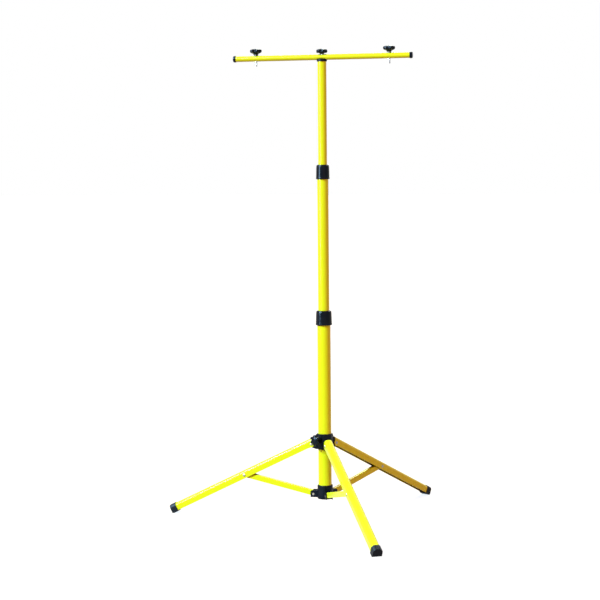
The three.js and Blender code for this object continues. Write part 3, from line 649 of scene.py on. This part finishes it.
def twist_collar(name, node, body, sizes, tube_radius, inner_radius):
    """A tapered twist collar with a flared, rounded foot and a soft brow under a round shoulder."""
    low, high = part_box(node)
    bottom, top = low[2] / MM, high[2] / MM
    bore = tube_radius + SLIDE_FIT
    lip = inner_radius + SLIDE_FIT
    foot, crown = sizes["bottom"], sizes["top"]
    corners = [
        (bore, bottom, 0),
        (foot, bottom, COLLAR_FOOT_ROUNDING),
        (foot, bottom + COLLAR_FLARE_HEIGHT, COLLAR_EDGE),
        (foot - COLLAR_FLARE, bottom + COLLAR_FLARE_HEIGHT + COLLAR_FLARE, COLLAR_EDGE),
        (crown + COLLAR_EDGE / 2, top - COLLAR_BROW, COLLAR_BROW_ROUNDING),
        (crown - COLLAR_BROW_LEAN, top, COLLAR_SHOULDER),
        (lip, top, COLLAR_EDGE / 2),
        (lip, top - COLLAR_LIP, 0),
        (bore, top - COLLAR_LIP, 0),
    ]
    thing = make_piece(name, turned(corners, MAST_STEPS), COLLAR_BLACK, place_on_mast())
    dress(thing, body, [node])
    return thing


def lobed_knob(name, sizes, place, body, node):
    """A six-lobed clamping knob with a flat crown and a bowl-shaped underside."""
    radius, height = sizes["radius"], sizes["height"]
    bowl = height * sizes["bowl share"]
    profile = [(radius * reach, bowl * rise, follow) for rise, reach, follow in KNOB_BOWL]
    profile += [(radius * reach, bowl + (height - bowl) * rise, follow) for rise, reach, follow in KNOB_CROWN]
    steps = KNOB_LOBES * LOBE_STEPS
    work = bmesh.new()
    rings = []
    for reach, rise, follow in profile:
        if reach < MERGE_GAP:
            rings.append([work.verts.new((0, 0, rise))])
            continue
        ring = []
        for i in range(steps):
            angle = FULL_TURN * i / steps
            valley = ((1 - math.cos(KNOB_LOBES * angle)) / 2) ** VALLEY_SHARPNESS
            out = reach * (1 - VALLEY_SHARE * follow * valley)
            ring.append(work.verts.new((out * math.cos(angle), out * math.sin(angle), rise)))
        rings.append(ring)
    for first, second in zip(rings, rings[1:]):
        join_rings(work, first, second)
    thing = make_piece(name, work, KNOB_BLACK, place)
    dress(thing, body, [node])
    return thing


def node_group(name, sizes):
    """A Geometry Nodes tree with named size inputs, and its ends."""
    tree = bpy.data.node_groups.new(name, "GeometryNodeTree")
    tree.interface.new_socket("Geometry", in_out="INPUT", socket_type="NodeSocketGeometry")
    for label, value in sizes.items():
        socket = tree.interface.new_socket(label, in_out="INPUT", socket_type="NodeSocketFloat")
        socket.default_value = value
    tree.interface.new_socket("Material", in_out="INPUT", socket_type="NodeSocketMaterial")
    tree.interface.new_socket("Geometry", in_out="OUTPUT", socket_type="NodeSocketGeometry")
    return tree, tree.nodes.new("NodeGroupInput"), tree.nodes.new("NodeGroupOutput")


def moved_along_z(tree, geometry, offset, flatten=None):
    """A geometry moved along Z, and squeezed along Z where asked."""
    place = tree.nodes.new("ShaderNodeCombineXYZ")
    tree.links.new(offset, place.inputs["Z"])
    move = tree.nodes.new("GeometryNodeTransform")
    tree.links.new(geometry, move.inputs["Geometry"])
    tree.links.new(place.outputs[0], move.inputs["Translation"])
    if flatten is not None:
        scale = tree.nodes.new("ShaderNodeCombineXYZ")
        scale.inputs["X"].default_value = 1
        scale.inputs["Y"].default_value = 1
        tree.links.new(flatten, scale.inputs["Z"])
        tree.links.new(scale.outputs[0], move.inputs["Scale"])
    return move.outputs["Geometry"]


def finished_tree(tree, ends, geometry):
    """Closes a tree with smooth faces, Realize Instances and Set Material."""
    group_in, group_out = ends
    smooth = tree.nodes.new("GeometryNodeSetShadeSmooth")
    realize = tree.nodes.new("GeometryNodeRealizeInstances")
    paint = tree.nodes.new("GeometryNodeSetMaterial")
    tree.links.new(geometry, realize.inputs["Geometry"])
    tree.links.new(realize.outputs["Geometry"], smooth.inputs["Geometry"])
    tree.links.new(smooth.outputs["Geometry"], paint.inputs["Geometry"])
    tree.links.new(group_in.outputs["Material"], paint.inputs["Material"])
    tree.links.new(paint.outputs["Geometry"], group_out.inputs["Geometry"])
    return tree


def rivet_tree():
    """Rivets on points: a shank, two shoulders and a domed head at each end, along each point's facing."""
    sizes = {
        "Shank Radius": RIVET_RADIUS * MM,
        "Half Length": LEG_HALF * MM,
        "Head Radius": RIVET_HEAD_RADIUS * MM,
        "Head Height": RIVET_HEAD * MM,
        "Shoulder Radius": RIVET_SHOULDER_RADIUS * MM,
        "Shoulder Length": LEG_WALL * MM,
        "Shoulder Centre": LEG_WALL * MM,
    }
    tree, group_in, group_out = node_group("rivets", sizes)
    size = group_in.outputs
    shank = tree.nodes.new("GeometryNodeMeshCylinder")
    shank.inputs["Vertices"].default_value = SMALL_STEPS // 2
    tree.links.new(size["Shank Radius"], shank.inputs["Radius"])
    tree.links.new(tree_maths(tree, "MULTIPLY", size["Half Length"], 2.0), shank.inputs["Depth"])
    shoulder = tree.nodes.new("GeometryNodeMeshCylinder")
    shoulder.inputs["Vertices"].default_value = SMALL_STEPS // 2
    tree.links.new(size["Shoulder Radius"], shoulder.inputs["Radius"])
    tree.links.new(size["Shoulder Length"], shoulder.inputs["Depth"])
    head = tree.nodes.new("GeometryNodeMeshUVSphere")
    head.inputs["Segments"].default_value = SMALL_STEPS // 2
    head.inputs["Rings"].default_value = SMALL_STEPS // 4
    tree.links.new(size["Head Radius"], head.inputs["Radius"])
    flatten = tree_maths(tree, "DIVIDE", size["Head Height"], size["Head Radius"])
    rivet = tree.nodes.new("GeometryNodeJoinGeometry")
    tree.links.new(shank.outputs["Mesh"], rivet.inputs["Geometry"])
    for sign in (-1.0, 1.0):
        ends = tree_maths(tree, "MULTIPLY", size["Half Length"], sign)
        middles = tree_maths(tree, "MULTIPLY", size["Shoulder Centre"], sign)
        tree.links.new(moved_along_z(tree, head.outputs["Mesh"], ends, flatten), rivet.inputs["Geometry"])
        tree.links.new(moved_along_z(tree, shoulder.outputs["Mesh"], middles), rivet.inputs["Geometry"])
    facing = tree.nodes.new("GeometryNodeInputNamedAttribute")
    facing.data_type = "FLOAT_VECTOR"
    facing.inputs["Name"].default_value = "facing"
    aim = tree.nodes.new("FunctionNodeAlignRotationToVector")
    aim.axis = "Z"
    tree.links.new(facing.outputs["Attribute"], aim.inputs["Vector"])
    copies = tree.nodes.new("GeometryNodeInstanceOnPoints")
    tree.links.new(group_in.outputs["Geometry"], copies.inputs["Points"])
    tree.links.new(rivet.outputs["Geometry"], copies.inputs["Instance"])
    tree.links.new(aim.outputs["Rotation"], copies.inputs["Rotation"])
    return finished_tree(tree, (group_in, group_out), copies.outputs["Instances"])


def thread_tree():
    """A threaded rod from Z 0 up: a core with a ridge that winds round it."""
    sizes = {
        "Radius": SCREW_RADIUS * MM,
        "Length": THREAD_LENGTH * MM,
        "Pitch": THREAD_PITCH * MM,
        "Depth": THREAD_DEPTH * MM,
    }
    tree, group_in, group_out = node_group("thread", sizes)
    size = group_in.outputs
    root_radius = tree_maths(tree, "SUBTRACT", size["Radius"], size["Depth"])
    core = tree.nodes.new("GeometryNodeMeshCylinder")
    core.inputs["Vertices"].default_value = SMALL_STEPS // 2
    tree.links.new(root_radius, core.inputs["Radius"])
    tree.links.new(size["Length"], core.inputs["Depth"])
    half = tree_maths(tree, "MULTIPLY", size["Length"], 0.5)
    plain = tree_maths(tree, "MULTIPLY", size["Pitch"], 2 * THREAD_RUN_OUT)
    run = tree_maths(tree, "SUBTRACT", size["Length"], plain)
    helix = tree.nodes.new("GeometryNodeCurveSpiral")
    helix.inputs["Resolution"].default_value = SMALL_STEPS // 2
    tree.links.new(root_radius, helix.inputs["Start Radius"])
    tree.links.new(root_radius, helix.inputs["End Radius"])
    tree.links.new(run, helix.inputs["Height"])
    tree.links.new(tree_maths(tree, "DIVIDE", run, size["Pitch"]), helix.inputs["Rotations"])
    ridge = tree.nodes.new("GeometryNodeCurvePrimitiveCircle")
    ridge.inputs["Resolution"].default_value = RIDGE_CORNERS
    tree.links.new(size["Depth"], ridge.inputs["Radius"])
    sweep = tree.nodes.new("GeometryNodeCurveToMesh")
    sweep.inputs["Fill Caps"].default_value = True
    tree.links.new(helix.outputs["Curve"], sweep.inputs["Curve"])
    tree.links.new(ridge.outputs["Curve"], sweep.inputs["Profile Curve"])
    both = tree.nodes.new("GeometryNodeJoinGeometry")
    tree.links.new(moved_along_z(tree, core.outputs["Mesh"], half), both.inputs["Geometry"])
    lift = tree_maths(tree, "MULTIPLY", size["Pitch"], THREAD_RUN_OUT)
    tree.links.new(moved_along_z(tree, sweep.outputs["Mesh"], lift), both.inputs["Geometry"])
    return finished_tree(tree, (group_in, group_out), both.outputs["Geometry"])


RIVETS = rivet_tree()
THREAD = thread_tree()


def grown(thing, tree, material, sizes):
    """Runs a tree on an object and keeps the result as a plain mesh."""
    step = thing.modifiers.new(tree.name, "NODES")
    step.node_group = tree
    for item in tree.interface.items_tree:
        if item.in_out == "INPUT" and item.name in sizes:
            step[item.identifier] = sizes[item.name] * MM
        if item.in_out == "INPUT" and item.name == "Material":
            step[item.identifier] = material
    return settled(thing)


def points_object(name, places, facing):
    """Loose points in metres that carry the way they face."""
    mesh = bpy.data.meshes.new(name)
    mesh.from_pydata(places, [], [])
    layer = mesh.attributes.new("facing", "FLOAT_VECTOR", "POINT")
    for item, way in zip(layer.data, facing):
        item.vector = way
    return new_object(name, mesh)


def threaded_screw(name, place, tip, top, body, node):
    """A threaded rod between two heights on the given axis."""
    thing = new_object(name, bpy.data.meshes.new(name))
    grown(thing, THREAD, SCREW_STEEL, {"Length": top - tip})
    thing.data.transform(place @ Matrix.Translation((0, 0, tip)) @ Matrix.Scale(1 / MM, 4))
    mark_sharp(thing.data)
    dress(thing, body, [node])
    return thing


def washer(name, place, body, node):
    """A flat washer with eased edges."""
    corners = [
        (SCREW_RADIUS + FIT, 0, 0),
        (WASHER_RADIUS, 0, FIT / 2),
        (WASHER_RADIUS, WASHER_THICKNESS, FIT),
        (SCREW_RADIUS + FIT, WASHER_THICKNESS, FIT / 2),
    ]
    thing = make_piece(name, turned(corners, SMALL_STEPS), DULL_STEEL, place)
    dress(thing, body, [node])
    return thing


def lamp_insert(name, place, node):
    """A flanged insert in the bar's top wall."""
    seat = BAR_RADIUS + FIT
    bore = SCREW_RADIUS + FIT
    corners = [
        (bore, seat - INSERT_LENGTH, 0),
        (INSERT_STEM_RADIUS, seat - INSERT_LENGTH, FIT),
        (INSERT_STEM_RADIUS, seat, 0),
        (INSERT_FLANGE_RADIUS, seat, FIT / 2),
        (INSERT_FLANGE_RADIUS, seat + INSERT_FLANGE, FIT),
        (bore, seat + INSERT_FLANGE, FIT / 2),
    ]
    thing = make_piece(name, turned(corners, SMALL_STEPS), DULL_STEEL, place)
    dress(thing, "top_section", [node])
    return thing


def bar_clamp(name, offset, knob, seat, tip):
    """A washer, a threaded screw and a knob on the bar."""
    place = Matrix.Scale(MM, 4) @ Matrix.Translation((MAST_X + offset, 0, BAR_HEIGHT))
    lift = seat + WASHER_THICKNESS + 2 * FIT
    washer_place = place @ Matrix.Translation((0, 0, seat + FIT))
    washer(name + "_washer_ring", washer_place, name + "_washer_set", name + "_washer")
    body = name + "_knob_set"
    lobed_knob(name + "_knob_grip", knob, place @ Matrix.Translation((0, 0, lift)), body, name + "_knob")
    top = lift + knob["height"] - SCREW_COVER - FIT
    threaded_screw(name + "_screw_thread", place, tip, top, body, name + "_screw")


def cross_bar():
    """The T bar's tube, drilled for its three screws."""
    end = BAR_REACH - BAR_CAP_END - FIT
    corners = [
        (BAR_RADIUS - BAR_WALL, -end, TUBE_EDGE),
        (BAR_RADIUS, -end, TUBE_EDGE),
        (BAR_RADIUS, end, TUBE_EDGE),
        (BAR_RADIUS - BAR_WALL, end, TUBE_EDGE),
    ]
    work = turned(corners, BAR_STEPS)
    thing = make_piece("cross_bar_tube", work, YELLOW, place_on_mast(0, BAR_HEIGHT) @ along_x())
    drills = []
    past = BAR_RADIUS + DRILL_SPARE
    for offset in (-LAMP_OFFSET, 0, LAMP_OFFSET):
        place = place_on_mast(0, BAR_HEIGHT) @ Matrix.Translation((offset, 0, 0))
        drills.append(cutter(rod(SCREW_RADIUS + SLIDE_FIT, -past, past, SMALL_STEPS // 2), place))
        if offset:
            drills.append(cutter(rod(INSERT_STEM_RADIUS + FIT, 0, past, SMALL_STEPS // 2), place))
    cut_away(thing, drills)
    mark_sharp(thing.data)
    weigh_normals(thing)
    settled(thing)
    dress(thing, "top_section", ["cross_bar"])


def bar_cap(name, node, flip):
    """A domed end cap on the T bar."""
    pocket = BAR_RADIUS + FIT
    start = BAR_REACH - BAR_CAP_GRIP - BAR_CAP_DOME
    corners = [
        (0, BAR_REACH - BAR_CAP_END, 0),
        (pocket, BAR_REACH - BAR_CAP_END, 0),
        (pocket, start, FIT / 2),
        (BAR_CAP_RADIUS, start, FIT),
        (BAR_CAP_RADIUS, BAR_REACH, BAR_CAP_DOME),
        (0, BAR_REACH, 0),
    ]
    place = place_on_mast(0, BAR_HEIGHT) @ along_x(flip)
    thing = make_piece(name, turned(corners, BAR_STEPS, closed=False), KNOB_BLACK, place)
    dress(thing, "top_section", [node])


def leg_fasteners(side, azimuth):
    """A leg's two rivets, one at the hub and one at the brace."""
    around = place_on_mast(azimuth)
    across = Vector((-math.sin(azimuth), math.cos(azimuth), 0))
    pivot = Matrix.Translation((HUB_PIVOT_RADIUS, 0, HUB_PIVOT_HEIGHT)) @ Matrix.Rotation(LEG_SLOPE, 4, "Y")
    hub_place = around @ pivot @ Vector((0, 0, 0))
    brace_place = around @ pivot @ Vector((LEG_RIVET_AT, 0, LEG_RIVET_RISE))
    hub_sizes = {"Half Length": LEG_HALF, "Shoulder Radius": RIVET_RADIUS}
    hub_rivet = points_object(side + "_hub_rivet_form", [hub_place], [across])
    grown(hub_rivet, RIVETS, NICKEL_STEEL, hub_sizes)
    inside = LEG_HALF - LEG_WALL
    shoulder = {
        "Half Length": LEG_HALF,
        "Shoulder Length": inside - BRACE_HALF - 2 * FIT,
        "Shoulder Centre": (inside + BRACE_HALF) / 2,
    }
    brace_rivet = points_object(side + "_brace_rivet_form", [brace_place], [across])
    grown(brace_rivet, RIVETS, NICKEL_STEEL, shoulder)
    dress(hub_rivet, side + "_leg_set", [side + "_hub_rivet"])
    dress(brace_rivet, side + "_leg_set", [side + "_brace_rivet"])


def mast():
    """The telescoping tubes and their twist collars, with the sliding hub and the collar at the foot."""
    tube("lower_tube_skin", LOWER_TUBE_RADIUS, "lower_tube", "mast_foot")
    tube("mid_tube_skin", MID_TUBE_RADIUS, "mid_tube", "mid_section")
    tube("top_tube_skin", TOP_TUBE_RADIUS, "top_tube", "top_section")
    for level, sizes, outer, inner in (
        ("lower", LOWER_COLLAR, LOWER_TUBE_RADIUS, MID_TUBE_RADIUS),
        ("upper", UPPER_COLLAR, MID_TUBE_RADIUS, TOP_TUBE_RADIUS),
    ):
        twist_collar(level + "_twist_grip", level + "_twist_collar", level + "_twist", sizes, outer, inner)
    dressed_copy("brace_collar", HUB_BLACK, HUB_EDGE, "mast_foot")
    dressed_copy("leg_hub", HUB_BLACK, HUB_EDGE, "hub")


def tripod():
    """The legs, braces and foot caps with their rivets."""
    for side, azimuth in LEG_AZIMUTHS.items():
        dressed_copy(side + "_leg", YELLOW, LEG_EDGE, side + "_leg_set")
        dressed_copy(side + "_brace", YELLOW, BRACE_EDGE, side + "_brace_set")
        dressed_copy(side + "_foot_cap", RUBBER, CAP_EDGE, side + "_leg_set")
        leg_fasteners(side, azimuth)


def hub_clamp():
    """The hub's clamp knob and its screw."""
    low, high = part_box("hub_knob_screw")
    height = (low[2] + high[2]) / 2 / MM
    place = place_on_mast(CLAMP_AZIMUTH, height) @ along_x()
    base = HUB_KNOB_SEAT + FIT
    knob_place = place @ Matrix.Translation((0, 0, base))
    lobed_knob("hub_knob_grip", HUB_KNOB, knob_place, "clamp_knob", "hub_knob")
    top = base + HUB_KNOB["height"] - SCREW_COVER - FIT
    tip = HUB_SCREW_TIP
    threaded_screw("hub_screw_thread", place, tip, top, "clamp_knob", "hub_knob_screw")


def t_bar():
    """The T bar with its caps, inserts, saddle and knobs."""
    cross_bar()
    bar_cap("left_bar_cap_dome", "left_bar_cap", True)
    bar_cap("right_bar_cap_dome", "right_bar_cap", False)
    dressed_copy("bar_saddle", HUB_BLACK, SADDLE_EDGE, "top_section")
    seat = BAR_RADIUS + FIT + INSERT_FLANGE
    for side, sign in (("left", -1), ("right", 1)):
        place = Matrix.Scale(MM, 4) @ Matrix.Translation((MAST_X + sign * LAMP_OFFSET, 0, BAR_HEIGHT))
        lamp_insert(side + "_lamp_seat", place, side + "_lamp_insert")
        bar_clamp(side + "_lamp", sign * LAMP_OFFSET, LAMP_KNOB, seat, -BAR_RADIUS - LAMP_SCREW_DROP)
    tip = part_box("centre_screw")[0][2] / MM - BAR_HEIGHT
    bar_clamp("centre", 0, CENTRE_KNOB, BAR_RADIUS, tip)


def paint_solids():
    """The solids that stay get their own finish."""
    finishes = {
        INNER_BLACK: ["lower_collet", "upper_collet", "mid_guide_bush", "top_guide_bush"],
        RUBBER: ["lower_tube_bumper", "hub_pressure_pad"],
        ZINC_STEEL: ["hub_nut", "saddle_nut", "collar_screw"],
        NICKEL_STEEL: [
            side + part
            for side in LEG_AZIMUTHS
            for part in ("_brace_pin", "_lug_rivet_left", "_lug_rivet_right")
        ],
    }
    for finish, names in finishes.items():
        for name in names:
            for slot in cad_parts[name].material_slots:
                slot.material = finish


def hang_lamp(name, data, place, backwards):
    """A lamp at a place, facing away from the given direction."""
    lamp = bpy.data.objects.new(name, data)
    lamp.location = place
    lamp.rotation_euler = backwards.to_track_quat("Z", "Y").to_euler()
    bpy.context.collection.objects.link(lamp)
    return lamp


def background_seen(tree):
    """1 where the camera, a glossy surface or glass sees the floor or the air, and 0 for their light."""
    path = tree.nodes.new("ShaderNodeLightPath")
    seen = tree_maths(tree, "MAXIMUM", path.outputs["Is Camera Ray"], path.outputs["Is Glossy Ray"])
    return tree_maths(tree, "MAXIMUM", seen, path.outputs["Is Transmission Ray"])


def studio():
    """A white floor and background, three suns, a warm fill all round and two softboxes for the gloss."""
    scene = bpy.context.scene
    world = bpy.data.worlds.new("studio_air")
    scene.world = world
    world.use_nodes = True
    tree = world.node_tree
    air = tree.nodes["Background"]
    shown = mixed(tree, "RGBA", background_seen(tree), FILL_LIGHT, BACKGROUND_WHITE)
    tree.links.new(shown, air.inputs["Color"])

    mesh = bpy.data.meshes.new("floor")
    half = FLOOR_HALF
    corners = [(-half, -half, 0), (half, -half, 0), (half, half, 0), (-half, half, 0)]
    mesh.from_pydata(corners, [], [(0, 1, 2, 3)])
    floor = new_object("floor", mesh)
    paper = bpy.data.materials.new("white_paper")
    paper.use_nodes = True
    tree = paper.node_tree
    shader = tree.nodes["Principled BSDF"]
    shader.inputs["Base Color"].default_value = PAPER_WHITE
    shader.inputs["Roughness"].default_value = 0.9
    shader.inputs["Specular IOR Level"].default_value = 0.1
    shader.inputs["Emission Color"].default_value = PAPER_GLOW
    tree.links.new(background_seen(tree), shader.inputs["Emission Strength"])
    mesh.materials.append(paper)

    for name, sizes in SUNS.items():
        sun = bpy.data.lights.new(name, "SUN")
        sun.energy = sizes["power"]
        sun.angle = sizes["spread"] * DEGREE
        sun.color = sizes["colour"]
        azimuth, rise = sizes["azimuth"] * DEGREE, sizes["rise"] * DEGREE
        level = math.cos(rise)
        way = Vector((level * math.cos(azimuth), level * math.sin(azimuth), math.sin(rise)))
        hang_lamp(name, sun, way * SUN_DISTANCE, way)
    for name, sizes in SOFTBOXES.items():
        box = bpy.data.lights.new(name, "AREA")
        box.shape = "RECTANGLE"
        box.size, box.size_y = sizes["size"]
        box.energy = sizes["power"]
        box.color = sizes["colour"]
        place = Vector(sizes["place"])
        lamp = hang_lamp(name, box, place, place - Vector((MAST_X * MM, 0, LAMP_AIM)))
        lamp.visible_diffuse = False
    scene.view_settings.view_transform = "Standard"


def camera():
    """The photograph's viewpoint: about 4.5 m away and 1 m up, looking slightly down."""
    place = Vector(CAMERA_PLACE)
    heading, pitch, roll = CAMERA_HEADING, CAMERA_PITCH, CAMERA_ROLL
    level = Vector((-math.sin(heading), math.cos(heading), 0))
    right = Vector((math.cos(heading), math.sin(heading), 0))
    up = Vector((0, 0, 1))
    ahead = level * math.cos(pitch) - up * math.sin(pitch)
    above = level * math.sin(pitch) + up * math.cos(pitch)
    side = right * math.cos(roll) + above * math.sin(roll)
    above = above * math.cos(roll) - right * math.sin(roll)
    turn = Matrix((side, above, -ahead)).transposed().to_4x4()
    data = bpy.data.cameras.new("camera")
    data.angle = 2 * math.atan(PICTURE_HALF / LENS_DISTANCE)
    thing = bpy.data.objects.new("camera", data)
    thing.matrix_world = Matrix.Translation(place) @ turn
    bpy.context.collection.objects.link(thing)
    bpy.context.scene.camera = thing


camera()
studio()
mast()
tripod()
hub_clamp()
t_bar()
paint_solids()
